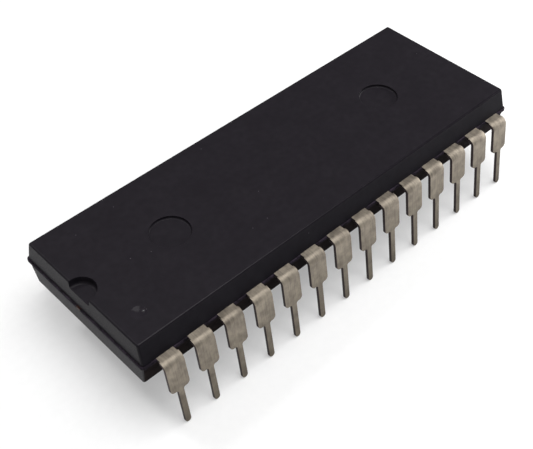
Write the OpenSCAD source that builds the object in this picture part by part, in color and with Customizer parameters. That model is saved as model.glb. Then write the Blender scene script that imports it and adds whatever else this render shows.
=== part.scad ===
/* [Lead rows] */
// Number of leads in both rows together
lead_count = 28; // [24, 28]
// Distance between neighbouring leads of a row
lead_pitch = 2.54; // [2.4:0.02:2.7]
// Distance between the two rows, at the shoulders of the leads
row_spacing = 15.24; // [14.9:0.02:16]

/* [Lead form] */
// Thickness of the stamped strip that leads and pad are cut from
strip_thickness = 0.25; // [0.2:0.01:0.3]
// Width of the broad blade at the top of a lead
blade_width = 1.56; // [1.4:0.02:1.7]
// Width of a lead where it leaves the body
root_width = 1.4; // [1.2:0.02:1.4]
// How far the stub of the cut dam bar reaches back from the bend
dam_stub = 0.08; // [0.02:0.01:0.1]
// Width of the narrow pin that enters the board
pin_width = 0.46; // [0.4:0.02:0.6]
// Height of the shoulders above the pin tips
pin_length = 3.28; // [2.8:0.02:4]
// Height of the body's underside above the shoulders
standoff = 0.38; // [0.38:0.02:0.9]
// Outer radius of the bend in a lead
bend_radius = 0.56; // [0.45:0.01:0.65]
// Angle by which the blades lean outwards
splay_angle = 7.6; // [0:0.1:9]
// Radius of the outer corner of a shoulder
shoulder_radius = 0.3; // [0.1:0.02:0.4]
// Radius of the fillet between shoulder and pin
neck_radius = 0.16; // [0.05:0.01:0.2]
// Radius of the two corners of a pin tip
tip_radius = 0.22; // [0.05:0.01:0.25]

/* [Moulded body] */
// Width of the body where its halves meet, without the lip
body_width = 12.86; // [12.5:0.02:13.2]
// Length of the body past the middle of the end leads
end_overhang = 1.74; // [1.2:0.02:2.4]
// Height of the upper half, above the strip
upper_height = 1.68; // [1.4:0.02:2.2]
// Height of the lower half, below the strip
lower_height = 2; // [1.6:0.02:2.4]
// Draft of a long wall: how far its free edge stands back
side_draft = 0.4; // [0.1:0.01:0.6]
// Draft of an end wall: how far its free edge stands back
end_draft = 0.12; // [0.05:0.01:0.5]
// How far the lip at the parting line stands out
parting_lip = 0.12; // [0.02:0.01:0.16]
// Radius of the four upright corners
corner_radius = 0.12; // [0.1:0.01:0.8]
// Radius of the edges round the top and the underside
edge_radius = 0.1; // [0.05:0.01:0.25]

/* [Moulded marks] */
// Radius of the half-round notch in the first end
notch_radius = 1.13; // [0.8:0.01:1.5]
// Depth of the notch
notch_depth = 0.6; // [0.3:0.05:0.9]
// Distance of the notch's middle from the end wall
notch_inset = 0.14; // [0:0.02:0.6]
// Sideways offset of notch and ejector marks from the middle line
mark_offset = 0.16; // [-0.4:0.02:0.4]
// Radius of the dimple beside lead 1
dimple_radius = 0.62; // [0.4:0.02:0.8]
// Depth of the dimple
dimple_depth = 0.17; // [0.1:0.01:0.3]
// Distance of the dimple's middle from the end wall
dimple_from_end = 1.85; // [1.5:0.05:3]
// Distance of the dimple's middle from the long wall
dimple_from_side = 2.48; // [1.6:0.02:3]
// Radius of the round marks that the ejector pins leave
ejector_radius = 1.5; // [1:0.05:1.8]
// Depth of the ejector marks
ejector_depth = 0.22; // [0.05:0.01:0.3]
// Distance between the two ejector marks of a face
ejector_spacing = 21; // [16:0.1:24]

/* [Lead frame inside] */
// Length of the pad that carries the die
pad_length = 8.4; // [7:0.1:9]
// Width of the pad
pad_width = 6; // [5.4:0.1:6.4]
// How far the pad is pressed down below the strip
pad_downset = 0.3; // [0.1:0.02:0.5]
// Width of the tie bars that hold the pad
tie_width = 0.4; // [0.3:0.02:0.5]
// Sideways step of a tie bar on its way to the end wall
tie_offset = 0.35; // [0:0.05:0.8]
// Width of a finger inside the body
finger_width = 0.44; // [0.3:0.01:0.5]
// Distance between the fingers that face an end of the pad
finger_pitch = 0.7; // [0.6:0.02:0.75]
// Distance between the finger tips along a side of the pad
side_tip_pitch = 1.32; // [1:0.02:1.4]
// Gap between the pad and the finger tips
finger_gap = 0.35; // [0.25:0.05:0.6]
// How far the full root width reaches into the body
anchor_depth = 0.86; // [0.8:0.02:1]
// Radius of the hole that anchors each lead in the body
anchor_radius = 0.24; // [0.15:0.01:0.28]

/* [Die and wires] */
// Length of the die
die_length = 5.6; // [4.6:0.1:6.4]
// Width of the die
die_width = 4.2; // [3.8:0.1:4.8]
// Thickness of the die
die_thickness = 0.36; // [0.25:0.01:0.5]
// Thickness of the adhesive under the die
adhesive_thickness = 0.04; // [0.02:0.01:0.06]
// How far the adhesive squeezes out round the die
adhesive_margin = 0.12; // [0.05:0.01:0.2]
// Radius of a bond wire
wire_radius = 0.017; // [0.012:0.001:0.025]
// Height of a wire loop above the straight line between its ends
loop_height = 0.24; // [0.15:0.01:0.35]
// Distance of a bond from the edge that it lies beside
bond_inset = 0.22; // [0.15:0.01:0.3]

/* [Hidden] */
row_count = lead_count / 2;
corner_count = row_count / 2;
side_finger_count = 3;
end_finger_count = corner_count - side_finger_count;
circle_faces = 40;
arc_steps = 6;
bend_steps = 12;
edge_steps = 3;
wire_faces = 6;
wire_steps = 10;

// How far a cutter or a blank reaches past the piece that it shapes
overrun = 1;

// Heights, from the pin tips upwards
underside_z = pin_length + standoff;
strip_bottom_z = underside_z + lower_height;
strip_top_z = strip_bottom_z + strip_thickness;
body_top_z = strip_top_z + upper_height;
pad_top_z = strip_top_z - pad_downset;
die_bottom_z = pad_top_z + adhesive_thickness;
die_top_z = die_bottom_z + die_thickness;

// Half lengths and half widths of the body and of the pad
body_half_length = (row_count - 1) * lead_pitch / 2 + end_overhang;
body_half_width = body_width / 2;
pad_half_length = pad_length / 2;
pad_half_width = pad_width / 2;

// The outer faces of strip and blade meet on one line, the bend's outer corner
bend_angle = 90 - splay_angle;
bend_tangent = bend_radius * tan(bend_angle / 2);
shoulder_y = row_spacing / 2 + strip_thickness / 2 / cos(splay_angle);
bend_corner_y = shoulder_y - (strip_top_z - pin_length) * tan(splay_angle);
bend_start_y = bend_corner_y - bend_tangent;

// Distances down the blade's outer face from that line
shoulder_drop = (strip_top_z - pin_length) / cos(splay_angle);
tip_drop = (strip_top_z - strip_thickness * sin(splay_angle)) / cos(splay_angle);

// Fillets of the blade, held to the ledge beside the pin
ledge_width = (blade_width - pin_width) / 2;
shoulder_fillet = min(shoulder_radius, ledge_width * 0.65);
neck_fillet = min(neck_radius, ledge_width - shoulder_fillet);
tip_fillet = min(tip_radius, pin_width / 2 - 0.01);

// Turning points of the fingers
anchor_y = body_half_width - anchor_depth;
first_finger_y = tie_width / 2 + finger_pitch;
end_tip_x = pad_half_length + finger_gap;
side_tip_y = pad_half_width + finger_gap;
side_run = 0.7;
tie_jog_inset = 3.5;
tie_jog_x = body_half_length - tie_jog_inset;
pad_ramp = 0.6;
pad_ramp_gap = 0.5;

// Shares of a finger's place at which its bond sits on the die
last_finger_y = first_finger_y + (end_finger_count - 1) * finger_pitch;
last_finger_x = (side_finger_count - 0.5) * side_tip_pitch;
end_bond_share = (die_width / 2 - bond_inset) / last_finger_y;
side_bond_share = (die_length / 2 - bond_inset * 2) / last_finger_x;
ball_radius = wire_radius * 2.6;
foot_radius = wire_radius * 1.6;

function two_digits(number) = number < 10 ? str("0", number) : str(number);
function lead_name(number) = str("lead_", two_digits(number));
function wire_name(number) = str("bond_wire_", two_digits(number));

function arc(centre, radius, from, to, steps = arc_steps) = [
    for (step = [0:steps])
        let (angle = from + (to - from) * step / steps)
            centre + radius * [cos(angle), sin(angle)]
];

function reversed(points) = [for (index = [len(points) - 1:-1:0]) points[index]];
function mirrored(points) = [for (point = reversed(points)) [-point.x, point.y]];
function unit(vector) = vector / norm(vector);
function left_of(vector) = [-vector.y, vector.x];

// Sideways shift of a corner of a path, so that the band keeps its width round it
function corner_shift(path, index, width) =
    let (
        before = left_of(unit(path[max(index, 1)] - path[max(index, 1) - 1])),
        last = min(index, len(path) - 2),
        after = left_of(unit(path[last + 1] - path[last]))
    )
    (before + after) / (1 + before * after) * width / 2;

// Outline of a band of one width along a path
function band(path, width) = concat(
    [for (index = [0:len(path) - 1]) path[index] - corner_shift(path, index, width)],
    reversed([for (index = [0:len(path) - 1]) path[index] + corner_shift(path, index, width)])
);

// Closed solid over a stack of rings that all have the same number of points
module loft(rings) {
    count = len(rings[0]);
    last = len(rings) - 1;
    sides = [
        for (ring = [0:last - 1], index = [0:count - 1])
            let (
                a = ring * count + index,
                b = ring * count + (index + 1) % count
            )
            each [[a, a + count, b], [b, a + count, b + count]]
    ];
    bottom = [for (index = [0:count - 1]) index];
    top = [for (index = [count - 1:-1:0]) last * count + index];
    polyhedron([for (ring = rings) each ring], concat([bottom, top], sides));
}

// Rounded rectangle at one height, seen as a ring of points
function body_ring(end_inset, side_inset, height) =
    let (
        middle_x = body_half_length - end_inset - corner_radius,
        middle_y = body_half_width - side_inset - corner_radius,
        corners = [[1, 1], [-1, 1], [-1, -1], [1, -1]]
    )
    [
        for (corner = [0:3])
            each [
                for (point = arc([corners[corner].x * middle_x, corners[corner].y * middle_y],
                    corner_radius, corner * 90, corner * 90 + 90))
                    [point.x, point.y, height]
            ]
    ];

// Rings of one half of the body, from the parting line to its free face and round its edge
function half_rings(start_z, height, direction) = concat(
    [body_ring(0, 0, start_z)],
    [
        for (step = [0:edge_steps])
            let (
                angle = 90 * step / edge_steps,
                rise = height - edge_radius * (1 - sin(angle)),
                share = rise / height,
                back = edge_radius * (1 - cos(angle))
            )
            body_ring(end_draft * share + back, side_draft * share + back, start_z + direction * rise)
    ]
);

// The body before the inner pieces are taken out: drafted halves and the lip between them
module body_shell() {
    loft(concat(
        reversed(half_rings(strip_bottom_z, lower_height, -1)),
        [
            body_ring(-parting_lip, -parting_lip, strip_bottom_z),
            body_ring(-parting_lip, -parting_lip, strip_top_z)
        ],
        half_rings(strip_top_z, upper_height, 1)
    ));
}

// Notch with a half-round inner end, open to the first end wall
module end_notch() {
    mouth = end_draft + notch_inset + overrun;
    translate([end_draft + notch_inset - body_half_length, mark_offset, body_top_z - notch_depth]) {
        cylinder(h = notch_depth + overrun, r = notch_radius, $fn = circle_faces);
        translate([-mouth, -notch_radius, 0])
            cube([mouth, 2 * notch_radius, notch_depth + overrun]);
    }
}

// Shallow dimple beside lead 1, part of a ball
module lead_one_dimple() {
    ball = (pow(dimple_radius, 2) + pow(dimple_depth, 2)) / (2 * dimple_depth);
    translate([
        dimple_from_end - body_half_length,
        dimple_from_side - body_half_width,
        body_top_z - dimple_depth + ball
    ])
        sphere(r = ball, $fn = circle_faces);
}

// Two flat round marks on the top and two on the underside
module ejector_marks() {
    for (side = [-1, 1], face_z = [underside_z - overrun, body_top_z - ejector_depth])
        translate([side * ejector_spacing / 2, mark_offset, face_z])
            cylinder(h = overrun + ejector_depth, r = ejector_radius, $fn = circle_faces);
}

// Place of lead 1 to the last of the near row, counted from the first end
function lead_x(index) = (index - (row_count - 1) / 2) * lead_pitch;

// How many leads lie between a lead and the end of the row that is nearer to it
function from_end(index) = min(index, row_count - 1 - index);
function end_side(index) = index < corner_count ? -1 : 1;
function faces_end(index) = from_end(index) < end_finger_count;

// Height of an end finger above the middle line, and place of a side finger along the pad
function end_finger_y(index) = first_finger_y + from_end(index) * finger_pitch;
function side_finger_x(index) = (corner_count - from_end(index) - 0.5) * side_tip_pitch;

// Tip of the finger of a near-row lead
function finger_tip(index) = faces_end(index)
    ? [end_side(index) * end_tip_x, -end_finger_y(index)]
    : [end_side(index) * side_finger_x(index), -side_tip_y];

// Where a finger turns into its last straight run
function finger_turn(index) = faces_end(index)
    ? [lead_x(index) - end_side(index) * (anchor_y - end_finger_y(index)), -end_finger_y(index)]
    : [end_side(index) * side_finger_x(index), -side_tip_y - side_run];

function finger_path(index) = [
    [lead_x(index), -anchor_y - finger_width / 2],
    [lead_x(index), -anchor_y],
    finger_turn(index),
    finger_tip(index)
];

// Root of a lead, from the bend into the body, drawn in at its inner end
function root_outline(index) =
    let (
        half = root_width / 2,
        neck = finger_width / 2,
        x = lead_x(index)
    )
    [
        [x - half, -bend_start_y],
        [x + half, -bend_start_y],
        [x + half, -anchor_y - half + neck],
        [x + neck, -anchor_y],
        [x - neck, -anchor_y],
        [x - half, -anchor_y - half + neck]
    ];

// Flat part of a lead: root, anchor hole and the finger that fans in towards the pad
module flat_part(index) {
    translate([0, 0, strip_bottom_z])
        linear_extrude(strip_thickness)
            difference() {
                union() {
                    polygon(root_outline(index));
                    polygon(band(finger_path(index), finger_width));
                }
                translate([lead_x(index), -body_half_width + anchor_depth / 2])
                    circle(r = anchor_radius, $fn = circle_faces);
            }
}

// Section of the strip across the row: from the dam bar's stub round the bend and past the tips
function strip_section() =
    let (
        centre = [bend_start_y, strip_top_z - bend_radius],
        past_tip = (tip_drop + overrun) * [sin(splay_angle), -cos(splay_angle)],
        outer_end = [bend_corner_y, strip_top_z] + past_tip,
        inner_end = outer_end - strip_thickness * [cos(splay_angle), sin(splay_angle)],
        start = bend_start_y - dam_stub
    )
    concat(
        [[start, strip_bottom_z], [start, strip_top_z]],
        arc(centre, bend_radius, 90, splay_angle, bend_steps),
        [outer_end, inner_end],
        arc(centre, bend_radius - strip_thickness, splay_angle, 90, bend_steps)
    );

// Right edge of the blade, from above the bend down to the middle of the tip
function blade_edge() = concat(
    [[blade_width / 2, overrun]],
    arc([blade_width / 2 - shoulder_fillet, shoulder_fillet - shoulder_drop], shoulder_fillet, 0, -90),
    arc([pin_width / 2 + neck_fillet, -shoulder_drop - neck_fillet], neck_fillet, 90, 180),
    arc([pin_width / 2 - tip_fillet, tip_fillet - tip_drop], tip_fillet, 0, -90)
);

// Bent strip, cut square to the blade along its outline: shoulders, pin and rounded tip
module bent_part(index) {
    reach = bend_corner_y - bend_start_y + dam_stub;
    intersection() {
        translate([lead_x(index), 0, 0])
            rotate([90, 0, -90])
                linear_extrude(blade_width * 2, center = true)
                    polygon(strip_section());
        translate([lead_x(index), -bend_corner_y, strip_top_z])
            rotate([bend_angle, 0, 0])
                translate([0, 0, -reach - overrun])
                    linear_extrude(reach + 2 * overrun)
                        polygon(concat(blade_edge(), mirrored(blade_edge())));
    }
}

// Near-row leads are drawn in place, and the far row is the near row turned half round
function row_index(number) = (number - 1) % row_count;
module in_row(number) {
    rotate([0, 0, number > row_count ? 180 : 0])
        children();
}

module lead(number) {
    color("#a8a294")
        in_row(number)
            union() {
                flat_part(row_index(number));
                bent_part(row_index(number));
            }
}

// Path of a tie bar from the pad to the first end wall
function tie_path() = [
    [-pad_half_length + tie_width, 0],
    [-tie_jog_x, 0],
    [-tie_jog_x - tie_offset, tie_offset],
    [-body_half_length - parting_lip, tie_offset]
];

// Section of pad and tie bars along the body: down on the ramps, flat under the die
function pad_section() =
    let (
        ramp_in = pad_half_length + pad_ramp_gap,
        ramp_out = ramp_in + pad_ramp,
        end = body_half_length + parting_lip,
        upper = [
            [-end, strip_top_z],
            [-ramp_out, strip_top_z],
            [-ramp_in, pad_top_z],
            [ramp_in, pad_top_z],
            [ramp_out, strip_top_z],
            [end, strip_top_z]
        ]
    )
    concat(upper, reversed([for (point = upper) point - [0, strip_thickness]]));

module die_pad() {
    color("#b07a4a")
        intersection() {
            translate([0, 0, pad_top_z - strip_thickness * 2])
                linear_extrude(pad_downset + strip_thickness * 3)
                    union() {
                        square([pad_length, pad_width], center = true);
                        for (turn = [0, 180])
                            rotate(turn) polygon(band(tie_path(), tie_width));
                    }
            rotate([90, 0, 0])
                linear_extrude(pad_width + overrun, center = true)
                    polygon(pad_section());
        }
}

module die_adhesive() {
    color("#c9c9c4")
        translate([0, 0, pad_top_z])
            linear_extrude(adhesive_thickness)
                square([die_length, die_width] + 2 * adhesive_margin * [1, 1], center = true);
}

module die() {
    color("#5d6473")
        translate([0, 0, die_bottom_z])
            linear_extrude(die_thickness)
                square([die_length, die_width], center = true);
}

// Ends of a wire: the ball on the die and the foot on the finger
function bond_on_die(index) = faces_end(index)
    ? [end_side(index) * (die_length / 2 - bond_inset), -end_finger_y(index) * end_bond_share]
    : [end_side(index) * side_finger_x(index) * side_bond_share, bond_inset - die_width / 2];
function bond_on_finger(index) = faces_end(index)
    ? finger_tip(index) + [end_side(index) * bond_inset, 0]
    : finger_tip(index) - [0, bond_inset];

// Point of a loop as distance along the ground and height; it leaves both ends upright
function loop_point(share, span) = [
    span * (1 - cos(180 * pow(share, 1.2))) / 2,
    die_top_z + (strip_top_z - die_top_z) * share + loop_height * sin(180 * share)
];

function loop_ring(step, start, direction, span) =
    let (
        share = step / wire_steps,
        point = loop_point(share, span),
        is_end = step == 0 || step == wire_steps,
        ahead = loop_point(min(share + 0.02, 1), span) - loop_point(max(share - 0.02, 0), span),
        along = is_end ? [0, step == 0 ? 1 : -1] : unit(ahead),
        radius = step == 0 ? ball_radius : step == wire_steps ? foot_radius : wire_radius,
        middle = [start.x + direction.x * point.x, start.y + direction.y * point.x, point.y],
        across = [-direction.y, direction.x, 0],
        lift = [-along.y * direction.x, -along.y * direction.y, along.x]
    )
    [
        for (face = [0:wire_faces - 1])
            let (angle = 360 * face / wire_faces)
                middle + radius * (cos(angle) * across + sin(angle) * lift)
    ];

module bond_wire(number) {
    start = bond_on_die(row_index(number));
    path = bond_on_finger(row_index(number)) - start;
    color("#d9a93b")
        in_row(number)
            loft([for (step = [0:wire_steps]) loop_ring(step, start, unit(path), norm(path))]);
}

// The moulding compound fills all that the other pieces leave free
module moulded_body() {
    color("#2d2d2f")
        difference() {
            body_shell();
            end_notch();
            lead_one_dimple();
            ejector_marks();
            for (number = [1:lead_count]) {
                in_row(number) flat_part(row_index(number));
                bond_wire(number);
            }
            die_pad();
            die_adhesive();
            die();
        }
}

moulded_body();
die_pad();
die_adhesive();
die();
for (number = [1:lead_count]) {
    lead(number);
    bond_wire(number);
}
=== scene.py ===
"""A 28-lead dual in-line chip, dressed and lit as it lies on a white studio table.

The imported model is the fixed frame: it gives each piece its place and size. The moulded body is
modelled anew over its solid, each lead is its solid with the stamped edges rounded, and the pieces
inside the moulding keep their solids and get their real finishes. Lengths are in metres.
"""

import logging
import math
from collections.abc import Callable, Iterator
from contextlib import contextmanager
from dataclasses import dataclass, field
from enum import Enum

import bpy
from mathutils import Matrix, Vector


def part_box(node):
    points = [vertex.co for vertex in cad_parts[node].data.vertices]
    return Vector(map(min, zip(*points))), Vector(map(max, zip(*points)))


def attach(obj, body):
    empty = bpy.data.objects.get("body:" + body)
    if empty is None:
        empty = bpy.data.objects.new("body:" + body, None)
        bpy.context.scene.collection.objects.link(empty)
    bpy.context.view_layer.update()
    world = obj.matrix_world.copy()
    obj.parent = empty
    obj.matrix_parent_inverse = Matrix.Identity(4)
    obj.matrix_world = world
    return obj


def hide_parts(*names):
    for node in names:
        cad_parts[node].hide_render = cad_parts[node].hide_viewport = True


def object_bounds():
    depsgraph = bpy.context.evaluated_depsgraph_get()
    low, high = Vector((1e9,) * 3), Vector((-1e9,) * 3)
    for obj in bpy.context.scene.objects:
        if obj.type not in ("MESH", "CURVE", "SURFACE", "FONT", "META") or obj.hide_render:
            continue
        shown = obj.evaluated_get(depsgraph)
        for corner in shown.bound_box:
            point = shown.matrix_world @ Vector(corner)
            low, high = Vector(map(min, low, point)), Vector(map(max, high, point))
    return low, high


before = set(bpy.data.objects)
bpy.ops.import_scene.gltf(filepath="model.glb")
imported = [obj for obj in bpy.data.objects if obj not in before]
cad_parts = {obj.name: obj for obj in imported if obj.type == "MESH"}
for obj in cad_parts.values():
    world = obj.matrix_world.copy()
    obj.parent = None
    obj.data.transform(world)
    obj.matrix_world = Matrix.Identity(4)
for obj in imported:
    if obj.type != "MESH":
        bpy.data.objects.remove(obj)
CAD_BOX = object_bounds()

MM = 0.001
BODY_NAME = "root"
# Between these values lies nearly all of a noise pattern
NOISE_LOW = 0.3
NOISE_HIGH = 0.7

log = logging.getLogger("dip_chip")


class Half(Enum):
    """The two halves of the mould, as the way that each opens."""

    UPPER = 1
    LOWER = -1


class ElementKind(Enum):
    """What an edit-mode selection is made of."""

    FACE = "FACE"
    EDGE = "EDGE"


def linear(colour: str) -> tuple[float, float, float, float]:
    """Turn an sRGB hex colour into the linear colour that shaders take.

    Args:
        colour: Six hex digits after a hash sign.

    Returns:
        Linear red, green, blue and an alpha of one.
    """
    channels = [int(colour[place:place + 2], 16) / 255 for place in (1, 3, 5)]
    red, green, blue = (
        value / 12.92 if value <= 0.04045 else ((value + 0.055) / 1.055) ** 2.4
        for value in channels
    )
    return red, green, blue, 1.0


def add_node(
    material: bpy.types.Material | bpy.types.World,
    kind: str,
    inputs: dict[str | int, object] | None = None,
    **settings: object,
) -> bpy.types.Node:
    """Add one shader node with its settings, values and incoming links.

    Args:
        material: The material or world whose tree gets the node.
        kind: The node's type name.
        inputs: For each socket, its value or the output that feeds it.
        **settings: Properties of the node itself.

    Returns:
        The new node.
    """
    tree = material.node_tree
    node = tree.nodes.new(kind)
    for name, value in settings.items():
        setattr(node, name, value)
    for socket, value in (inputs or {}).items():
        if isinstance(value, bpy.types.NodeSocket):
            tree.links.new(value, node.inputs[socket])
        else:
            node.inputs[socket].default_value = value
    return node


def new_material(name: str) -> bpy.types.Material:
    """Make a material with an empty node tree.

    Args:
        name: The finish's real name.

    Returns:
        The material.
    """
    material = bpy.data.materials.new(name)
    material.use_nodes = True
    material.node_tree.nodes.clear()
    return material


@dataclass(frozen=True)
class MouldingCompound:
    """Epoxy moulding compound, filled with silica and carbon black, transfer moulded.

    The filler lies unevenly, so the black is faintly mottled, and the face of the mould gives the
    grain and the sheen.
    """

    name: str
    dark: str
    light: str
    roughness: float
    roughness_spread: float = 0.08
    # Clear epoxy has about 1.5; the filler and the pits of the mould's face take most of the gloss
    ior: float = 1.19
    mottle_size: float = 2.6 * MM
    cloud_size: float = 0.5 * MM
    # What the two patterns' product runs through from dark to light
    mottle_dark: float = 0.12
    mottle_light: float = 0.40
    # Real grain is about 0.02 mm; drawn at 0.09 mm, or no pixel would show it
    grain_size: float = 0.09 * MM
    grain_depth: float = 0.0016 * MM
    # Coarse silica grains that reach the skin, one to a cell and most of them hidden
    speck: str = "#5a565c"
    # Full colour within the core, fading out to the radius
    speck_core: float = 0.015 * MM
    speck_radius: float = 0.045 * MM
    speck_cell: float = 0.7 * MM
    speck_share: float = 0.12

    def make(self) -> bpy.types.Material:
        """Build the node tree.

        Returns:
            The material.
        """
        material = new_material(self.name)
        place = add_node(material, "ShaderNodeTexCoord").outputs["Object"]
        grain = add_node(
            material,
            "ShaderNodeTexNoise",
            {"Vector": place, "Scale": 1 / self.grain_size, "Detail": 2.0, "Roughness": 0.7},
        )
        colour = add_node(
            material,
            "ShaderNodeMix",
            {
                "Factor": self._specks(material, place),
                "A": self._resin(material, place),
                "B": linear(self.speck),
            },
            data_type="RGBA",
        )
        rough = add_node(
            material,
            "ShaderNodeMapRange",
            {
                "Value": grain.outputs["Fac"],
                "From Min": NOISE_LOW,
                "From Max": NOISE_HIGH,
                "To Min": self.roughness - self.roughness_spread,
                "To Max": self.roughness + self.roughness_spread,
            },
        )
        relief = add_node(
            material,
            "ShaderNodeBump",
            {"Height": grain.outputs["Fac"], "Distance": self.grain_depth, "Strength": 1.0},
        )
        skin = add_node(
            material,
            "ShaderNodeBsdfPrincipled",
            {
                "Base Color": colour.outputs["Result"],
                "Roughness": rough.outputs["Result"],
                "IOR": self.ior,
                "Normal": relief.outputs["Normal"],
            },
        )
        add_node(material, "ShaderNodeOutputMaterial", {"Surface": skin.outputs["BSDF"]})
        return material

    def _resin(
        self,
        material: bpy.types.Material,
        place: bpy.types.NodeSocket,
    ) -> bpy.types.NodeSocket:
        """Mottle the black by how thickly the filler lies.

        Args:
            material: The material that gets the colour.
            place: The place on the piece.

        Returns:
            The colour.
        """
        mottle = add_node(
            material,
            "ShaderNodeTexNoise",
            {"Vector": place, "Scale": 1 / self.mottle_size, "Detail": 4.0, "Roughness": 0.6},
        )
        clouds = add_node(
            material,
            "ShaderNodeTexNoise",
            {"Vector": place, "Scale": 1 / self.cloud_size, "Detail": 2.0, "Roughness": 0.5},
        )
        blend = add_node(
            material,
            "ShaderNodeMath",
            {0: mottle.outputs["Fac"], 1: clouds.outputs["Fac"]},
            operation="MULTIPLY",
        )
        share = add_node(
            material,
            "ShaderNodeMapRange",
            {
                "Value": blend.outputs["Value"],
                "From Min": self.mottle_dark,
                "From Max": self.mottle_light,
            },
        )
        resin = add_node(
            material,
            "ShaderNodeMix",
            {"Factor": share.outputs["Result"], "A": linear(self.dark), "B": linear(self.light)},
            data_type="RGBA",
        )
        return resin.outputs["Result"]

    def _specks(
        self,
        material: bpy.types.Material,
        place: bpy.types.NodeSocket,
    ) -> bpy.types.NodeSocket:
        """Find the few coarse grains that reach the skin.

        Args:
            material: The material that gets the pattern.
            place: The place on the piece.

        Returns:
            The pattern, 1 on a grain and 0 beside it.
        """
        grains = add_node(
            material,
            "ShaderNodeTexVoronoi",
            {"Vector": place, "Scale": 1 / self.speck_cell},
        )
        lot = add_node(material, "ShaderNodeSeparateColor", {"Color": grains.outputs["Color"]})
        bare = add_node(
            material,
            "ShaderNodeMath",
            {0: lot.outputs["Red"], 1: self.speck_share},
            operation="LESS_THAN",
        )
        on_grain = add_node(
            material,
            "ShaderNodeMapRange",
            {
                "Value": grains.outputs["Distance"],
                "From Min": self.speck_radius / self.speck_cell,
                "From Max": self.speck_core / self.speck_cell,
            },
        )
        shows = add_node(
            material,
            "ShaderNodeMath",
            {0: bare.outputs["Value"], 1: on_grain.outputs["Result"]},
            operation="MULTIPLY",
        )
        return shows.outputs["Value"]


# Off a spark-eroded mould face: an even satin black
ERODED_SKIN = MouldingCompound(
    "black epoxy, spark eroded mould face",
    dark="#1a171c",
    light="#1f1c21",
    roughness=0.46,
)
# Squeezed out at the parting line and broken off: dull, rough and faintly violet
TORN_FLASH = MouldingCompound(
    "black epoxy, torn flash at the parting line",
    dark="#0d090f",
    light="#362e39",
    roughness=0.75,
    ior=1.18,
    mottle_size=0.8 * MM,
    cloud_size=0.22 * MM,
    grain_depth=0.006 * MM,
)
# Blasted with grit to clear the leads of flash: matt and brownish black, with hardly any sheen
BLASTED_WALL = MouldingCompound(
    "black epoxy, blasted clear of flash between the leads",
    dark="#1c1717",
    light="#2b2424",
    roughness=0.85,
    ior=1.12,
    grain_depth=0.005 * MM,
)
# Painted shade on the upper long walls: a darker copy of the skin, with less sheen
SHADED_LONG_WALL = MouldingCompound(
    "black epoxy, long wall with painted shade",
    dark="#17151a",
    light="#1c1a1f",
    roughness=0.5,
    ior=1.14,
)
# Rubbed by the rails of the shipping tube, so the long rims are the smoothest of the moulded faces
RUBBED_RIM = MouldingCompound(
    "black epoxy, rim rubbed smooth",
    dark="#19161b",
    light="#1e1b20",
    roughness=0.2,
    roughness_spread=0.03,
)
# Off the polished end of a mould pin: it glints where the rest is satin. Its colour is lighter than
# the skin's: painted light that lifts the shade in the dimple
PIN_POLISH_AND_PAINTED_LIGHT = MouldingCompound(
    "black epoxy, polished pin face with painted light",
    dark="#211e23",
    light="#262328",
    roughness=0.2,
    roughness_spread=0.02,
    ior=1.15,
)


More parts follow.
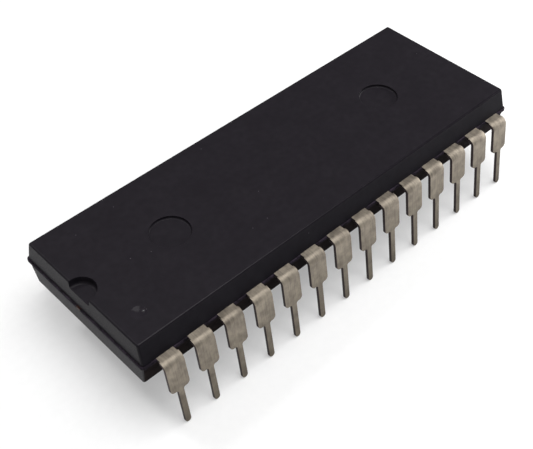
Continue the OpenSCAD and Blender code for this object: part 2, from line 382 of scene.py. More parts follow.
@dataclass(frozen=True)
class MatteTin:
    """Matte tin, electroplated about 0.01 mm thick over a rolled and stamped copper alloy strip.

    It is a soft grey mirror with a warm cast. The rolling marks of the strip run lengthwise under
    the plating, handling leaves dull patches, and the sheared edges are painted darker as shade.
    """

    name: str = "matte electroplated tin"
    bright: str = "#a69d8f"
    dull: str = "#7c746a"
    # Painted shade for the sheared edges, which look along the row
    sheared_edge_shade: str = "#4d4446"
    # Inside the moulding the strip was never plated
    strip: str = "#a8745a"
    # Multiplied in towards the pin tips as painted shade
    tip_shade: str = "#bcbab6"
    roughness: float = 0.6
    streak_roughness: float = 0.14
    # Real rolling marks are about 0.02 mm wide; drawn at 0.07 mm so that they show
    streak_width: float = 0.07 * MM
    streak_length: float = 1.6 * MM
    patch_size: float = 0.7 * MM
    # The grain of matte tin is about 0.005 mm; drawn at 0.05 mm so that it shows
    grain_size: float = 0.05 * MM
    grain_depth: float = 0.0010 * MM
    # The patches plus this share of the streaks run from dull to bright between the next two
    streak_share: float = 0.8
    wear_dull: float = 0.66
    wear_bright: float = 1.14
    # How squarely a face has to look along the row to be a sheared edge, painted with shade
    edge_from: float = 0.75
    edge_full: float = 0.95
    # The rolling marks stand this many times as high as the grain of the plating
    streak_relief: float = 1.5
    tip_height: float = CAD_BOX[0][2]
    darkening_reach: float = 5.2 * MM
    wall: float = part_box("moulded_body")[1].y
    # The bath creeps a little way in between strip and moulding
    creep: float = 0.3 * MM
    plating_blur: float = 0.05 * MM

    def make(self) -> bpy.types.Material:
        """Build the node tree.

        Returns:
            The material.
        """
        material = new_material(self.name)
        coordinates = add_node(material, "ShaderNodeTexCoord")
        place = coordinates.outputs["Object"]
        streaks = self._streaks(material, place)
        plated = self._plating(material, place, streaks)
        outside = self._paint_edge_shade(material, coordinates.outputs["Normal"], plated)
        rough = add_node(
            material,
            "ShaderNodeMapRange",
            {
                "Value": streaks,
                "From Min": NOISE_LOW,
                "From Max": NOISE_HIGH,
                "To Min": self.roughness - self.streak_roughness / 2,
                "To Max": self.roughness + self.streak_roughness / 2,
            },
        )
        skin = add_node(
            material,
            "ShaderNodeBsdfPrincipled",
            {
                "Base Color": self._age(material, place, outside),
                "Metallic": 1.0,
                "Roughness": rough.outputs["Result"],
                "Normal": self._relief(material, place, streaks),
            },
        )
        add_node(material, "ShaderNodeOutputMaterial", {"Surface": skin.outputs["BSDF"]})
        return material

    def _streaks(
        self,
        material: bpy.types.Material,
        place: bpy.types.NodeSocket,
    ) -> bpy.types.NodeSocket:
        """Draw the rolling marks, narrow along the row and long down each lead.

        Args:
            material: The material that gets the pattern.
            place: The place on the piece.

        Returns:
            The pattern.
        """
        stretched = add_node(
            material,
            "ShaderNodeMapping",
            {
                "Vector": place,
                "Scale": (1 / self.streak_width, 1 / self.streak_length, 1 / self.streak_length),
            },
        )
        streaks = add_node(
            material,
            "ShaderNodeTexNoise",
            {"Vector": stretched.outputs["Vector"], "Scale": 1.0, "Detail": 3.0},
        )
        return streaks.outputs["Fac"]

    def _plating(
        self,
        material: bpy.types.Material,
        place: bpy.types.NodeSocket,
        streaks: bpy.types.NodeSocket,
    ) -> bpy.types.NodeSocket:
        """Colour the plated faces by rolling marks and by the patches that handling leaves.

        Args:
            material: The material that gets the colour.
            place: The place on the piece.
            streaks: The rolling marks.

        Returns:
            The colour.
        """
        patches = add_node(
            material,
            "ShaderNodeTexNoise",
            {"Vector": place, "Scale": 1 / self.patch_size, "Detail": 3.0, "Roughness": 0.6},
        )
        wear = add_node(
            material,
            "ShaderNodeMath",
            {0: streaks, 1: self.streak_share, 2: patches.outputs["Fac"]},
            operation="MULTIPLY_ADD",
        )
        share = add_node(
            material,
            "ShaderNodeMapRange",
            {
                "Value": wear.outputs["Value"],
                "From Min": self.wear_dull,
                "From Max": self.wear_bright,
            },
        )
        plated = add_node(
            material,
            "ShaderNodeMix",
            {"Factor": share.outputs["Result"], "A": linear(self.dull), "B": linear(self.bright)},
            data_type="RGBA",
        )
        return plated.outputs["Result"]

    def _paint_edge_shade(
        self,
        material: bpy.types.Material,
        normal: bpy.types.NodeSocket,
        plated: bpy.types.NodeSocket,
    ) -> bpy.types.NodeSocket:
        """Paint shade on the sheared edges, which look along the row.

        Args:
            material: The material that gets the colour.
            normal: The way that a face looks.
            plated: The colour of the flat faces.

        Returns:
            The colour of both.
        """
        facing = add_node(material, "ShaderNodeSeparateXYZ", {"Vector": normal})
        sideways = add_node(
            material,
            "ShaderNodeMath",
            {0: facing.outputs["X"]},
            operation="ABSOLUTE",
        )
        is_edge = add_node(
            material,
            "ShaderNodeMapRange",
            {
                "Value": sideways.outputs["Value"],
                "From Min": self.edge_from,
                "From Max": self.edge_full,
            },
        )
        # Painted shade on the faces that look along the row
        outside = add_node(
            material,
            "ShaderNodeMix",
            {"Factor": is_edge.outputs["Result"], "A": plated, "B": linear(self.sheared_edge_shade)},
            data_type="RGBA",
        )
        return outside.outputs["Result"]

    def _age(
        self,
        material: bpy.types.Material,
        place: bpy.types.NodeSocket,
        outside: bpy.types.NodeSocket,
    ) -> bpy.types.NodeSocket:
        """Leave the strip bare inside the moulding and paint shade on it towards the tips.

        Args:
            material: The material that gets the colour.
            place: The place on the piece.
            outside: The colour of the plating, with painted shade on the sheared edges.

        Returns:
            The colour of the whole lead.
        """
        along = add_node(material, "ShaderNodeSeparateXYZ", {"Vector": place})
        from_middle = add_node(
            material,
            "ShaderNodeMath",
            {0: along.outputs["Y"]},
            operation="ABSOLUTE",
        )
        is_plated = add_node(
            material,
            "ShaderNodeMapRange",
            {
                "Value": from_middle.outputs["Value"],
                "From Min": self.wall - self.creep - self.plating_blur,
                "From Max": self.wall - self.creep,
            },
        )
        colour = add_node(
            material,
            "ShaderNodeMix",
            {"Factor": is_plated.outputs["Result"], "A": linear(self.strip), "B": outside},
            data_type="RGBA",
        )
        # Painted shade, darker towards the pin tips
        tip_share = add_node(
            material,
            "ShaderNodeMapRange",
            {
                "Value": along.outputs["Z"],
                "From Min": self.tip_height + self.darkening_reach,
                "From Max": self.tip_height,
            },
        )
        darkened = add_node(
            material,
            "ShaderNodeMix",
            {
                "Factor": tip_share.outputs["Result"],
                "A": colour.outputs["Result"],
                "B": linear(self.tip_shade),
            },
            data_type="RGBA",
            blend_type="MULTIPLY",
        )
        return darkened.outputs["Result"]

    def _relief(
        self,
        material: bpy.types.Material,
        place: bpy.types.NodeSocket,
        streaks: bpy.types.NodeSocket,
    ) -> bpy.types.NodeSocket:
        """Raise the rolling marks and the grain of the plating a little.

        Args:
            material: The material that gets the relief.
            place: The place on the piece.
            streaks: The rolling marks.

        Returns:
            The turned normal.
        """
        grain = add_node(
            material,
            "ShaderNodeTexNoise",
            {"Vector": place, "Scale": 1 / self.grain_size, "Detail": 1.0},
        )
        height = add_node(
            material,
            "ShaderNodeMath",
            {0: streaks, 1: self.streak_relief, 2: grain.outputs["Fac"]},
            operation="MULTIPLY_ADD",
        )
        relief = add_node(
            material,
            "ShaderNodeBump",
            {"Height": height.outputs["Value"], "Distance": self.grain_depth, "Strength": 1.0},
        )
        return relief.outputs["Normal"]


@dataclass(frozen=True)
class BondGold:
    """Gold drawn to fine wire and annealed soft: bright and even."""

    name: str = "drawn gold bond wire"
    dark: str = "#d6a43a"
    light: str = "#f0c662"
    roughness: float = 0.25
    # The marks of the drawing die are about 0.001 mm; drawn at 0.02 mm so that they show
    grain_size: float = 0.02 * MM
    grain_depth: float = 0.0008 * MM

    def make(self) -> bpy.types.Material:
        """Build the node tree.

        Returns:
            The material.
        """
        material = new_material(self.name)
        place = add_node(material, "ShaderNodeTexCoord").outputs["Object"]
        grain = add_node(
            material,
            "ShaderNodeTexNoise",
            {"Vector": place, "Scale": 1 / self.grain_size, "Detail": 3.0},
        )
        colour = add_node(
            material,
            "ShaderNodeMix",
            {"Factor": grain.outputs["Fac"], "A": linear(self.dark), "B": linear(self.light)},
            data_type="RGBA",
        )
        relief = add_node(
            material,
            "ShaderNodeBump",
            {"Height": grain.outputs["Fac"], "Distance": self.grain_depth, "Strength": 1.0},
        )
        skin = add_node(
            material,
            "ShaderNodeBsdfPrincipled",
            {
                "Base Color": colour.outputs["Result"],
                "Metallic": 1.0,
                "Roughness": self.roughness,
                "Normal": relief.outputs["Normal"],
            },
        )
        add_node(material, "ShaderNodeOutputMaterial", {"Surface": skin.outputs["BSDF"]})
        return material


@dataclass(frozen=True)
class BareStrip:
    """Rolled copper alloy strip, never plated.

    Inside the moulding it keeps its colour, and the cut ends of the tie bars have gone dark.
    """

    name: str = "bare copper alloy strip"
    dark: str = "#8a5a44"
    light: str = "#b07a5c"
    darkened: str = "#33211d"
    roughness: float = 0.5
    # Rolling marks and grain are about 0.02 mm; drawn at 0.12 mm so that they show
    grain_size: float = 0.12 * MM
    grain_depth: float = 0.0008 * MM
    tie_end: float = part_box("die_pad")[1].x
    darkening_reach: float = 0.2 * MM
    tarnish_blur: float = 0.1 * MM

    def make(self) -> bpy.types.Material:
        """Build the node tree.

        Returns:
            The material.
        """
        material = new_material(self.name)
        place = add_node(material, "ShaderNodeTexCoord").outputs["Object"]
        grain = add_node(
            material,
            "ShaderNodeTexNoise",
            {"Vector": place, "Scale": 1 / self.grain_size, "Detail": 3.0},
        )
        rolled = add_node(
            material,
            "ShaderNodeMix",
            {"Factor": grain.outputs["Fac"], "A": linear(self.dark), "B": linear(self.light)},
            data_type="RGBA",
        )
        along = add_node(material, "ShaderNodeSeparateXYZ", {"Vector": place})
        from_middle = add_node(
            material,
            "ShaderNodeMath",
            {0: along.outputs["X"]},
            operation="ABSOLUTE",
        )
        cut_end = add_node(
            material,
            "ShaderNodeMapRange",
            {
                "Value": from_middle.outputs["Value"],
                "From Min": self.tie_end - self.darkening_reach,
                "From Max": self.tie_end - self.darkening_reach + self.tarnish_blur,
            },
        )
        colour = add_node(
            material,
            "ShaderNodeMix",
            {
                "Factor": cut_end.outputs["Result"],
                "A": rolled.outputs["Result"],
                "B": linear(self.darkened),
            },
            data_type="RGBA",
        )
        relief = add_node(
            material,
            "ShaderNodeBump",
            {"Height": grain.outputs["Fac"], "Distance": self.grain_depth, "Strength": 1.0},
        )
        skin = add_node(
            material,
            "ShaderNodeBsdfPrincipled",
            {
                "Base Color": colour.outputs["Result"],
                "Metallic": 1.0,
                "Roughness": self.roughness,
                "Normal": relief.outputs["Normal"],
            },
        )
        add_node(material, "ShaderNodeOutputMaterial", {"Surface": skin.outputs["BSDF"]})
        return material


@dataclass(frozen=True)
class SilverEpoxy:
    """Silver-filled epoxy, dispensed as a paste and cured: a dull pale grey with visible flakes."""

    name: str = "silver filled epoxy adhesive"
    dark: str = "#8d8c88"
    light: str = "#c9c8c3"
    roughness: float = 0.6
    metallic: float = 0.5
    # Real flakes are about 0.01 mm; drawn at 0.03 mm so that they show
    flake_size: float = 0.03 * MM

    def make(self) -> bpy.types.Material:
        """Build the node tree.

        Returns:
            The material.
        """
        material = new_material(self.name)
        place = add_node(material, "ShaderNodeTexCoord").outputs["Object"]
        flakes = add_node(
            material,
            "ShaderNodeTexVoronoi",
            {"Vector": place, "Scale": 1 / self.flake_size},
        )
        colour = add_node(
            material,
            "ShaderNodeMix",
            {"Factor": flakes.outputs["Distance"], "A": linear(self.dark), "B": linear(self.light)},
            data_type="RGBA",
        )
        skin = add_node(
            material,
            "ShaderNodeBsdfPrincipled",
            {
                "Base Color": colour.outputs["Result"],
                "Metallic": self.metallic,
                "Roughness": self.roughness,
            },
        )
        add_node(material, "ShaderNodeOutputMaterial", {"Surface": skin.outputs["BSDF"]})
        return material


@dataclass(frozen=True)
class PolishedSilicon:
    """Silicon with its circuit layers, diced from a polished wafer: a blue-grey mirror.

    The circuit blocks are far finer than a pixel, so they show as patches of slightly other tint.
    """

    name: str = "polished silicon die"
    dark: str = "#3d4454"
    light: str = "#6b6f82"
    roughness: float = 0.18
    metallic: float = 0.6
    block_size: float = 0.35 * MM

    def make(self) -> bpy.types.Material:
        """Build the node tree.

        Returns:
            The material.
        """
        material = new_material(self.name)
        place = add_node(material, "ShaderNodeTexCoord").outputs["Object"]
        blocks = add_node(
            material,
            "ShaderNodeTexVoronoi",
            {"Vector": place, "Scale": 1 / self.block_size},
            distance="CHEBYCHEV",
        )
        tint = add_node(
            material,
            "ShaderNodeSeparateColor",
            {"Color": blocks.outputs["Color"]},
        )
        colour = add_node(
            material,
            "ShaderNodeMix",
            {"Factor": tint.outputs["Red"], "A": linear(self.dark), "B": linear(self.light)},
            data_type="RGBA",
        )
        skin = add_node(
            material,
            "ShaderNodeBsdfPrincipled",
            {
                "Base Color": colour.outputs["Result"],
                "Metallic": self.metallic,
                "Roughness": self.roughness,
            },
        )
        add_node(material, "ShaderNodeOutputMaterial", {"Surface": skin.outputs["BSDF"]})
        return material


@dataclass(frozen=True)
class WhitePaper:
    """Seamless white background paper, matt and a little fibrous.

    It takes the chip's shadow, and a share of plain white that the camera, metal and gloss see
    carries it up to the white of the studio.
    """

    name: str = "seamless white paper"
    dark: str = "#c6c6c6"
    light: str = "#cccccc"
    fibre_size: float = 0.6 * MM
    # Shares of plain white round the chip and far away from it
    lift: float = 0.34
    far_lift: float = 0.9
    near: float = 80 * MM
    far: float = 700 * MM

    def make(self) -> bpy.types.Material:
        """Build the node tree.

        Returns:
            The material.
        """
        material = new_material(self.name)
        place = add_node(material, "ShaderNodeTexCoord").outputs["Object"]
        fibre = add_node(
            material,
            "ShaderNodeTexNoise",
            {"Vector": place, "Scale": 1 / self.fibre_size, "Detail": 2.0},
        )
        colour = add_node(
            material,
            "ShaderNodeMix",
            {"Factor": fibre.outputs["Fac"], "A": linear(self.dark), "B": linear(self.light)},
            data_type="RGBA",
        )
        matt = add_node(
            material,
            "ShaderNodeBsdfDiffuse",
            {"Color": colour.outputs["Result"]},
        )
        distance = add_node(material, "ShaderNodeVectorMath", {0: place}, operation="LENGTH")
        lift = add_node(
            material,
            "ShaderNodeMapRange",
            {
                "Value": distance.outputs["Value"],
                "From Min": self.near,
                "From Max": self.far,
                "To Min": self.lift,
                "To Max": self.far_lift,
            },
        )
        strength = add_node(
            material,
            "ShaderNodeMath",
            {0: seen_by_camera_or_gloss(material), 1: lift.outputs["Result"]},
            operation="MULTIPLY",
        )
        white = add_node(
            material,
            "ShaderNodeEmission",
            {"Color": linear("#ffffff"), "Strength": strength.outputs["Value"]},
        )
        both = add_node(
            material,
            "ShaderNodeAddShader",
            {0: matt.outputs["BSDF"], 1: white.outputs["Emission"]},
        )
        add_node(material, "ShaderNodeOutputMaterial", {"Surface": both.outputs["Shader"]})
        return material


def seen_by_camera_or_gloss(material: bpy.types.Material) -> bpy.types.NodeSocket:
    """Tell the rays that see the background from those that only bring light.

    Args:
        material: The material that asks.

    Returns:
        One for camera, glossy and transmission rays, and nought for the others.
    """
    ray = add_node(material, "ShaderNodeLightPath")
    glossy = add_node(
        material,
        "ShaderNodeMath",
        {0: ray.outputs["Is Camera Ray"], 1: ray.outputs["Is Glossy Ray"]},
        operation="MAXIMUM",
    )
    seen = add_node(
        material,
        "ShaderNodeMath",
        {0: glossy.outputs["Value"], 1: ray.outputs["Is Transmission Ray"]},
        operation="MAXIMUM",
    )
    return seen.outputs["Value"]


def take_up(piece: bpy.types.Object) -> None:
    """Make a piece the only one that is selected, and the active one.

    Args:
        piece: The object to work on next.
    """
    bpy.ops.object.select_all(action="DESELECT")
    piece.select_set(True)
    bpy.context.view_layer.objects.active = piece


@contextmanager
def picked(
    piece: bpy.types.Object,
    kind: ElementKind,
    wanted: Callable[[bpy.types.MeshPolygon | tuple[Vector, Vector]], bool],
) -> Iterator[None]:
    """Work in edit mode on the faces or edges that a rule picks.

    Args:
        piece: The mesh object to edit.
        kind: Whether the rule is asked about faces or edges.
        wanted: The rule. It is given a face, or the two ends of an edge.

    Yields:
        Nothing; the selection stands while the block runs.
    """
    take_up(piece)
    bpy.ops.object.mode_set(mode="EDIT")
    bpy.ops.mesh.select_mode(type=kind.value)
    bpy.ops.mesh.select_all(action="DESELECT")
    bpy.ops.object.mode_set(mode="OBJECT")
    mesh = piece.data
    if kind is ElementKind.FACE:
        for face in mesh.polygons:
            face.select = wanted(face)
    else:
        for edge in mesh.edges:
            start, end = (mesh.vertices[index].co for index in edge.vertices)
            edge.select = wanted((start, end))
    bpy.ops.object.mode_set(mode="EDIT")
    yield
    bpy.ops.object.mode_set(mode="OBJECT")


def settle(piece: bpy.types.Object) -> None:
    """Move a piece's place, turn and scale into its mesh."""
    take_up(piece)
    bpy.ops.object.transform_apply(location=True, rotation=True, scale=True)


def add_modifier(piece: bpy.types.Object, kind: str, **settings: object) -> None:
    """Put a modifier on a piece and apply it.

    Args:
        piece: The mesh object.
        kind: The modifier's type name.
        **settings: Properties of the modifier.
    """
    take_up(piece)
    modifier = piece.modifiers.new(kind.lower(), kind)
    for name, value in settings.items():
        setattr(modifier, name, value)
    bpy.ops.object.modifier_apply(modifier=modifier.name)


def smooth_faces(piece: bpy.types.Object, sharpest: float) -> None:
    """Shade a piece smooth where its faces meet at less than an angle, flats staying flat.

    Args:
        piece: The mesh object.
        sharpest: The angle in degrees.
    """
    take_up(piece)
    bpy.ops.object.shade_smooth_by_angle(angle=math.radians(sharpest))
    add_modifier(piece, "WEIGHTED_NORMAL", keep_sharp=True, weight=50)


def carve(piece: bpy.types.Object, cutter: bpy.types.Object) -> None:
    """Cut one mesh out of another and throw the cutter away.

    Args:
        piece: What is cut.
        cutter: What is cut away.
    """
    settle(cutter)
    add_modifier(piece, "BOOLEAN", operation="DIFFERENCE", solver="EXACT", object=cutter)
    bpy.data.objects.remove(cutter)


@dataclass
class MouldedBody:
    """The moulding: a lip round the parting line and a drafted half on each side of it."""

    node: str = "moulded_body"
    lead_node: str = "lead_01"
    parting_lip: float = 0.12 * MM
    strip_thickness: float = 0.25 * MM
    # The lip stands this much inside its solid, so that metal and moulding never share a face
    flash_gap: float = 0.006 * MM
    side_draft: float = 0.4 * MM
    end_draft: float = 0.12 * MM
    corner_radius: float = 0.17 * MM
    edge_radius: float = 0.14 * MM
    lip_rounding: float = 0.02 * MM
    rim_rounding: float = 0.02 * MM
    notch_radius: float = 1.13 * MM
    notch_depth: float = 0.6 * MM
    notch_inset: float = 0.14 * MM
    notch_fillet: float = 0.22 * MM
    mark_offset: float = 0.16 * MM
    dimple_radius: float = 0.56 * MM
    dimple_depth: float = 0.14 * MM
    dimple_from_end: float = 1.85 * MM
    dimple_from_side: float = 2.48 * MM
    ejector_radius: float = 1.5 * MM
    ejector_depth: float = 0.22 * MM
    ejector_fillet: float = 0.14 * MM
    ejector_spacing: float = 21 * MM
    circle_faces: int = 96
    round_steps: int = 5
    lip_steps: int = 2
    rim_steps: int = 3
    # Faces that meet at less than this many degrees are shaded as one
    smooth_below: float = 32
    # How far a cutter reaches past the face that it cuts
    overrun: float = 1 * MM
    # A height nearer than this to a flat is on it
    on_flat: float = 0.0006 * MM
    # How squarely a face has to look one way to count as a flat, and as a wall
    flat_facing: float = 0.9
    wall_facing: float = 0.8
    skin: MouldingCompound = ERODED_SKIN
    flash: MouldingCompound = TORN_FLASH
    blasted: MouldingCompound = BLASTED_WALL
    # The upper long walls get painted shade
    shaded_long_wall: MouldingCompound = SHADED_LONG_WALL
    rim: MouldingCompound = RUBBED_RIM
    # The dimple gets its polish and painted light
    polish_and_painted_light: MouldingCompound = PIN_POLISH_AND_PAINTED_LIGHT
    low: Vector = field(init=False)
    high: Vector = field(init=False)
    strip_top: float = field(init=False)

    def __post_init__(self) -> None:
        """Take the body's corners and the strip's height from the frame."""
        self.low, self.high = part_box(self.node)
        self.strip_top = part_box(self.lead_node)[1].z

    @property
    def strip_bottom(self) -> float:
        """Height of the strip's lower face."""
        return self.strip_top - self.strip_thickness

    @property
    def half_length(self) -> float:
        """Half the body's length at the parting line, without the lip."""
        return self.high.x - self.parting_lip

    @property
    def half_width(self) -> float:
        """Half the body's width at the parting line, without the lip."""
        return self.high.y - self.parting_lip

    @property
    def dimple_place(self) -> tuple[float, float]:
        """Middle of the dimple."""
        return self.dimple_from_end - self.half_length, self.dimple_from_side - self.half_width

    @property
    def ejector_places(self) -> list[tuple[float, float]]:
        """Middles of the two ejector marks of a face."""
        return [(side * self.ejector_spacing / 2, self.mark_offset) for side in (-1, 1)]

    def build(self) -> bpy.types.Object:
        """Model the body.

        Returns:
            The finished body.
        """
        body = self._slab()
        for half in Half:
            self._grow(body, half)
        for half in Half:
            self._round_rim(body, half)
        self._round_lip(body)
        self._cut_notch(body)
        self._cut_dimple(body)
        self._cut_ejector_marks(body)
        self._soften_rims(body)
        smooth_faces(body, self.smooth_below)
        return body

    def _slab(self) -> bpy.types.Object:
        """Model the lip as a slab with rounded corners.

        Returns:
            The slab.
        """
        thickness = self.strip_thickness - 2 * self.flash_gap
        bpy.ops.object.select_all(action="DESELECT")
        bpy.ops.mesh.primitive_cube_add(
            size=1,
            location=(0, 0, self.strip_top - self.strip_thickness / 2),
        )
        slab = bpy.context.object
        slab.name = "moulded_body_dressed"
        slab.scale = (
            2 * (self.high.x - self.flash_gap),
            2 * (self.high.y - self.flash_gap),
            thickness,
        )
        settle(slab)

        def upright(ends: tuple[Vector, Vector]) -> bool:
            """Whether an edge runs straight up."""
            return (ends[0].xy - ends[1].xy).length < self.flash_gap

        with picked(slab, ElementKind.EDGE, upright):
            bpy.ops.mesh.bevel(
                offset=self.corner_radius + self.parting_lip,
                segments=2 * self.round_steps,
                affect="EDGES",
            )
        return slab

    def _face_height(self, half: Half) -> float:
        """Height of a half's free face."""
        return self.high.z if half is Half.UPPER else self.low.z

    def _grow(self, body: bpy.types.Object, half: Half) -> None:
        """Raise one drafted half from the lip.

        Args:
            body: The body so far.
            half: Which half to raise.
        """
        way = half.value
        start = self.strip_top - self.flash_gap
        if half is Half.LOWER:
            start = self.strip_bottom + self.flash_gap
        shrink = (
            1 - self.end_draft / self.half_length,
            1 - self.side_draft / self.half_width,
            1,
        )
        with picked(body, ElementKind.FACE, lambda face: face.normal.z * way > self.flat_facing):
            bpy.ops.mesh.inset(thickness=self.parting_lip - self.flash_gap)
            bpy.ops.mesh.extrude_region_move(
                TRANSFORM_OT_translate={"value": (0, 0, self._face_height(half) - start)}
            )
            bpy.ops.transform.resize(value=shrink, center_override=(0, 0, 0))

    def _round_rim(self, body: bpy.types.Object, half: Half) -> None:
        """Round the edge of a half's free face.

        Args:
            body: The body so far.
            half: Which half to round.
        """
        height = self._face_height(half)

        def on_rim(ends: tuple[Vector, Vector]) -> bool:
            """Whether an edge lies in the half's free face."""
            return all(abs(point.z - height) < self.flash_gap for point in ends)

        with picked(body, ElementKind.EDGE, on_rim):
            bpy.ops.mesh.bevel(
                offset=self.edge_radius,
                segments=self.round_steps,
                affect="EDGES",
                clamp_overlap=False,
            )

    def _round_lip(self, body: bpy.types.Object) -> None:
        """Take the sharpness off the two outer edges of the lip.

        Args:
            body: The body so far.
        """
        reach_x = self.high.x - self.flash_gap
        reach_y = self.high.y - self.flash_gap
        slab_faces = (self.strip_top - self.flash_gap, self.strip_bottom + self.flash_gap)

        def outermost(point: Vector) -> bool:
            """Tell the lip's outer outline from the foot of the halves.

            Args:
                point: A corner of the mesh.

            Returns:
                Whether it lies on the outline.
            """
            past = Vector((
                abs(point.x) - reach_x + self.corner_radius + self.parting_lip,
                abs(point.y) - reach_y + self.corner_radius + self.parting_lip,
            ))
            if past.x > 0 and past.y > 0:
                return past.length > self.corner_radius + self.parting_lip / 2
            beyond_end = abs(point.x) > reach_x - self.flash_gap
            return beyond_end or abs(point.y) > reach_y - self.flash_gap

        def on_lip_edge(ends: tuple[Vector, Vector]) -> bool:
            """Find the lip's upper and lower outline.

            Args:
                ends: The two ends of an edge.

            Returns:
                Whether the edge is part of one of them.
            """
            level = any(
                all(abs(point.z - height) < self.flash_gap / 2 for point in ends)
                for height in slab_faces
            )
            return level and all(outermost(point) for point in ends)

        with picked(body, ElementKind.EDGE, on_lip_edge):
            bpy.ops.mesh.bevel(
                offset=self.lip_rounding,
                segments=self.lip_steps,
                affect="EDGES",
            )

    def _mark_cutter(
        self,
        centre: tuple[float, float],
        radius: float,
        floor: float,
        fillet: float,
    ) -> bpy.types.Object:
        """Add a round cutter that stands on a mark's floor and reaches past the face.

        Args:
            centre: Middle of the mark.
            radius: Radius of the mark.
            floor: Height of the mark's floor.
            fillet: Rounding between the mark's wall and floor.

        Returns:
            The cutter.
        """

        def round_the_floor(ends: tuple[Vector, Vector]) -> bool:
            """Whether an edge is part of the rim of the cutter's inner face."""
            return all(abs(point.z - floor) < self.flash_gap for point in ends)

        way = 1 if floor > self.strip_top else -1
        bpy.ops.object.select_all(action="DESELECT")
        bpy.ops.mesh.primitive_cylinder_add(
            vertices=self.circle_faces,
            radius=radius,
            depth=self.overrun,
            location=(*centre, floor + way * self.overrun / 2),
        )
        cutter = bpy.context.object
        settle(cutter)
        with picked(cutter, ElementKind.EDGE, round_the_floor):
            bpy.ops.mesh.bevel(offset=fillet, segments=self.round_steps, affect="EDGES")
        return cutter

    def _cut_notch(self, body: bpy.types.Object) -> None:
        """Cut the notch into the first end: half round inside, open to the end wall.

        Args:
            body: The body so far.
        """
        middle = self.end_draft + self.notch_inset - self.half_length
        floor = self.high.z - self.notch_depth
        centre = (middle, self.mark_offset)
        cutter = self._mark_cutter(centre, self.notch_radius, floor, self.notch_fillet)
        with picked(cutter, ElementKind.FACE, lambda face: face.normal.x < -0.01):
            bpy.ops.mesh.extrude_region_move(
                TRANSFORM_OT_translate={"value": (-self.overrun, 0, 0)}
            )
        carve(body, cutter)

    def _cut_dimple(self, body: bpy.types.Object) -> None:
        """Press the shallow round dimple beside lead 1.

        Args:
            body: The body so far.
        """
        ball = (self.dimple_radius ** 2 + self.dimple_depth ** 2) / (2 * self.dimple_depth)
        bpy.ops.object.select_all(action="DESELECT")
        bpy.ops.mesh.primitive_uv_sphere_add(
            segments=self.circle_faces,
            ring_count=self.circle_faces // 2,
            radius=ball,
            location=(*self.dimple_place, self.high.z - self.dimple_depth + ball),
        )
        carve(body, bpy.context.object)

    def _cut_ejector_marks(self, body: bpy.types.Object) -> None:
        """Sink the flat round marks of the ejector pins, two in each face.

        Args:
            body: The body so far.
        """
        floors = (self.high.z - self.ejector_depth, self.low.z + self.ejector_depth)
        for centre in self.ejector_places:
            for floor in floors:
                cutter = self._mark_cutter(
                    centre,
                    self.ejector_radius,
                    floor,
                    self.ejector_fillet,
                )
                carve(body, cutter)

    def _soften_rims(self, body: bpy.types.Object) -> None:
        """Round the rims where the marks break through the faces.

        Args:
            body: The body so far.
        """
        rims = [
            (Vector(centre), height)
            for centre in self.ejector_places
            for height in (self.high.z, self.low.z)
        ]

        def on_rim(ends: tuple[Vector, Vector]) -> bool:
            """Find the rims of the ejector marks.

            Args:
                ends: The two ends of an edge.

            Returns:
                Whether the edge is part of one of them.
            """
            return any(
                all(
                    abs((point.xy - centre).length - self.ejector_radius) < self.flash_gap
                    and abs(point.z - height) < self.flash_gap
                    for point in ends
                )
                for centre, height in rims
            )

        with picked(body, ElementKind.EDGE, on_rim):
            bpy.ops.mesh.bevel(
                offset=self.rim_rounding,
                segments=self.rim_steps,
                affect="EDGES",
            )

    def dress(self, body: bpy.types.Object) -> None:
        """Give the body its finishes and put it in its node's place.

        Args:
            body: The finished body.
        """
        dimple = Vector(self.dimple_place)

        def in_lip(face: bpy.types.MeshPolygon) -> bool:
            """Whether a face belongs to the lip."""
            return self.strip_bottom < face.center.z < self.strip_top

        def under_leads(face: bpy.types.MeshPolygon) -> bool:
            """Whether a face is a long wall of the lower half."""
            return face.center.z < self.strip_bottom and abs(face.normal.y) > self.wall_facing

        def over_leads(face: bpy.types.MeshPolygon) -> bool:
            """Whether a face is a long wall of the upper half."""
            return face.center.z > self.strip_top and abs(face.normal.y) > self.wall_facing

        def on_rim(face: bpy.types.MeshPolygon) -> bool:
            """Find the rounding between a free face and a long wall.

            Args:
                face: A face of the body.

            Returns:
                Whether it belongs to that rounding.
            """
            depth = min(self.high.z - face.center.z, face.center.z - self.low.z)
            from_side = self.half_width - self.side_draft - abs(face.center.y)
            return from_side < self.edge_radius and self.on_flat < depth < self.edge_radius

        def in_dimple(face: bpy.types.MeshPolygon) -> bool:
            """Find the dimple.

            Args:
                face: A face of the body.

            Returns:
                Whether it lies in the dimple.
            """
            sunk = self.high.z - face.center.z
            near = (face.center.xy - dimple).length < self.dimple_radius
            return near and self.on_flat < sunk < self.dimple_depth + self.on_flat

        body.data.materials.clear()
        dressed = (
            (self.flash, in_lip),
            (self.blasted, under_leads),
            (self.shaded_long_wall, over_leads),
            (self.rim, on_rim),
            (self.polish_and_painted_light, in_dimple),
        )
        body.data.materials.append(self.skin.make())
        for place, (finish, belongs) in enumerate(dressed, start=1):
            body.data.materials.append(finish.make())
            with picked(body, ElementKind.FACE, belongs):
                body.active_material_index = place
                bpy.ops.object.material_slot_assign()
        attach(body, BODY_NAME)
        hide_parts(self.node)


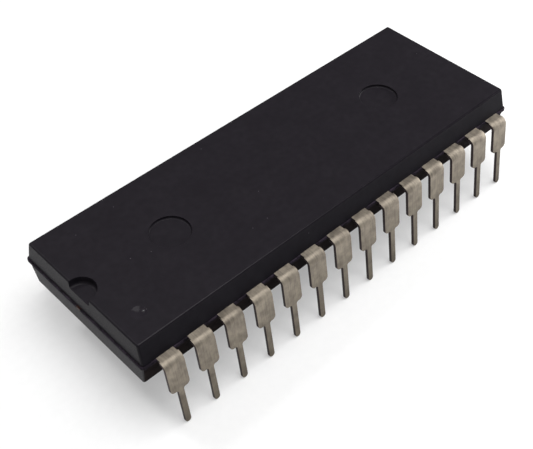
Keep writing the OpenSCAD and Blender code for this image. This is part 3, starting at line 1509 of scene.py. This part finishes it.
@dataclass
class LeadRows:
    """The 28 leads: each is its solid, with the edges that the punch left slightly round."""

    prefix: str = "lead_"
    punch_rounding: float = 0.028 * MM
    punch_steps: int = 2
    weld_distance: float = 0.0005 * MM
    # Both in degrees: triangles that belong to one flat, and faces that are shaded as one
    flat_within: float = 1.0
    smooth_below: float = 40

    def names(self) -> list[str]:
        """Names of the leads' nodes, in order round the chip."""
        return sorted(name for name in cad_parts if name.startswith(self.prefix))

    def build(self, node: str) -> bpy.types.Object:
        """Copy a lead's solid, join its triangles to faces and round its stamped edges.

        Args:
            node: The lead's node.

        Returns:
            The finished lead.
        """
        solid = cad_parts[node]
        lead = bpy.data.objects.new(f"{node}_dressed", solid.data.copy())
        bpy.context.scene.collection.objects.link(lead)
        take_up(lead)
        bpy.ops.mesh.customdata_custom_splitnormals_clear()
        with picked(lead, ElementKind.FACE, lambda face: True):
            bpy.ops.mesh.remove_doubles(threshold=self.weld_distance)
            bpy.ops.mesh.dissolve_limited(angle_limit=math.radians(self.flat_within))
        add_modifier(
            lead,
            "BEVEL",
            width=self.punch_rounding,
            segments=self.punch_steps,
            limit_method="ANGLE",
            angle_limit=math.radians(self.smooth_below),
            use_clamp_overlap=True,
        )
        smooth_faces(lead, self.smooth_below)
        return lead

    def dress(self, lead: bpy.types.Object, node: str, tin: bpy.types.Material) -> None:
        """Give a lead its finish and put it in its node's place.

        Args:
            lead: The finished lead.
            node: The node that it stands for.
            tin: The plating.
        """
        lead.data.materials.clear()
        lead.data.materials.append(tin)
        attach(lead, BODY_NAME)
        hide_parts(node)


@dataclass
class InnerPieces:
    """What the moulding encloses: pad, adhesive, die and wires.

    Their solids already have the right shape, so they are only dressed.
    """

    pad_node: str = "die_pad"
    adhesive_node: str = "die_adhesive"
    die_node: str = "die"
    wire_prefix: str = "bond_wire_"

    def dress(self) -> list[str]:
        """Give each inner node its finish.

        Returns:
            The names of the dressed nodes.
        """
        gold = BondGold().make()
        finishes = {
            self.pad_node: BareStrip().make(),
            self.adhesive_node: SilverEpoxy().make(),
            self.die_node: PolishedSilicon().make(),
        }
        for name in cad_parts:
            if name.startswith(self.wire_prefix):
                finishes[name] = gold
        for name, finish in finishes.items():
            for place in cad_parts[name].material_slots:
                place.material = finish
        return sorted(finishes)


@dataclass
class Softbox:
    """A square lamp with a white diffuser, turned to the chip.

    Azimuth 0 is in front of the near row and 90 past the second end; both angles are in degrees.
    At a brightness of 1 the diffuser itself looks white.
    """

    name: str
    azimuth: float
    elevation: float
    distance: float
    side: float
    brightness: float

    def place(self, target: Vector) -> None:
        """Hang the lamp and aim it.

        Args:
            target: What it lights.
        """
        area = self.side ** 2
        lamp = bpy.data.lights.new(self.name, "AREA")
        lamp.shape = "SQUARE"
        lamp.size = self.side
        lamp.energy = self.brightness * math.pi * area
        holder = bpy.data.objects.new(self.name, lamp)
        bpy.context.scene.collection.objects.link(holder)
        turn, rise = math.radians(self.azimuth), math.radians(self.elevation)
        away = Vector((
            math.sin(turn) * math.cos(rise),
            -math.cos(turn) * math.cos(rise),
            math.sin(rise),
        ))
        holder.location = target + away * self.distance
        holder.rotation_euler = away.to_track_quat("Z", "Y").to_euler()


@dataclass
class Studio:
    """A white paper floor, an even pale room and softboxes."""

    floor_side: float = 6.0
    floor_cuts: int = 8
    room_brightness: float = 0.22
    softboxes: list[Softbox] = field(default_factory=lambda: [
        Softbox(
            "key softbox",
            azimuth=45,
            elevation=79,
            distance=0.5,
            side=0.38,
            brightness=5.1,
        ),
        Softbox(
            "right card",
            azimuth=74,
            elevation=10,
            distance=0.07,
            side=0.035,
            brightness=7.3,
        ),
        Softbox(
            "small lamp behind",
            azimuth=-163,
            elevation=52,
            distance=0.5,
            side=0.09,
            brightness=26,
        ),
    ])

    def build(self, target: Vector) -> None:
        """Lay the floor, light the room and hang the lamps.

        Args:
            target: The middle of the chip.
        """
        self._lay_floor()
        self._light_room()
        for softbox in self.softboxes:
            softbox.place(target)

    def _lay_floor(self) -> None:
        """Lay the paper under the pin tips."""
        bpy.ops.object.select_all(action="DESELECT")
        bpy.ops.mesh.primitive_plane_add(size=self.floor_side, location=(0, 0, CAD_BOX[0][2]))
        floor = bpy.context.object
        floor.name = "studio_floor"
        settle(floor)
        with picked(floor, ElementKind.FACE, lambda face: True):
            bpy.ops.mesh.subdivide(number_cuts=self.floor_cuts)
        floor.data.materials.append(WhitePaper().make())

    def _light_room(self) -> None:
        """Fill the room with even light, and show it white to the camera."""
        room = bpy.data.worlds.new("studio room")
        bpy.context.scene.world = room
        room.use_nodes = True
        room.node_tree.nodes.clear()
        ray = add_node(room, "ShaderNodeLightPath")
        strength = add_node(
            room,
            "ShaderNodeMix",
            {
                "Factor": ray.outputs["Is Camera Ray"],
                "A": self.room_brightness,
                "B": 1.0,
            },
            data_type="FLOAT",
        )
        light = add_node(
            room,
            "ShaderNodeBackground",
            {"Color": linear("#ffffff"), "Strength": strength.outputs["Result"]},
        )
        add_node(room, "ShaderNodeOutputWorld", {"Surface": light.outputs["Background"]})


@dataclass(frozen=True)
class ProductCamera:
    """The camera of the product picture, held over the first end's near corner.

    Its angles are in degrees, from looking level along Y.
    """

    east: float = -36.15 * MM
    south: float = -38.138 * MM
    above_top: float = 47.653 * MM
    azimuth: float = 42.024
    tilt_down: float = 45.986
    roll: float = 1.494
    lens_mm: float = 65.339
    sensor_mm: float = 36.0
    nearest: float = 1 * MM

    def place(self, top: float) -> None:
        """Set the camera up.

        Args:
            top: Height of the chip's top face.
        """
        optics = bpy.data.cameras.new("product camera")
        optics.lens = self.lens_mm
        optics.sensor_width = self.sensor_mm
        optics.sensor_fit = "HORIZONTAL"
        optics.clip_start = self.nearest
        holder = bpy.data.objects.new("product camera", optics)
        bpy.context.scene.collection.objects.link(holder)
        turn, tilt = math.radians(self.azimuth), math.radians(self.tilt_down)
        ahead = Vector((
            math.sin(turn) * math.cos(tilt),
            math.cos(turn) * math.cos(tilt),
            -math.sin(tilt),
        ))
        level = ahead.to_track_quat("-Z", "Y").to_matrix().to_4x4()
        rolled = level @ Matrix.Rotation(-math.radians(self.roll), 4, "Z")
        stand = Matrix.Translation((self.east, self.south, top + self.above_top))
        holder.matrix_world = stand @ rolled
        bpy.context.scene.camera = holder


def main() -> None:
    """Build, dress and light the chip."""
    logging.basicConfig(level=logging.INFO, format="%(message)s")
    moulding = MouldedBody()
    body = moulding.build()
    moulding.dress(body)
    log.info("%s: %d faces", body.name, len(body.data.polygons))

    tin = MatteTin().make()
    rows = LeadRows()
    for node in rows.names():
        lead = rows.build(node)
        rows.dress(lead, node, tin)
        log.info("%s: %d faces", lead.name, len(lead.data.polygons))

    for name in InnerPieces().dress():
        log.info("%s: dressed", name)

    Studio().build(Vector((0, 0, moulding.high.z)))
    ProductCamera().place(moulding.high.z)
    bpy.context.scene.view_settings.view_transform = "Standard"


if __name__ == "__main__":
    main()
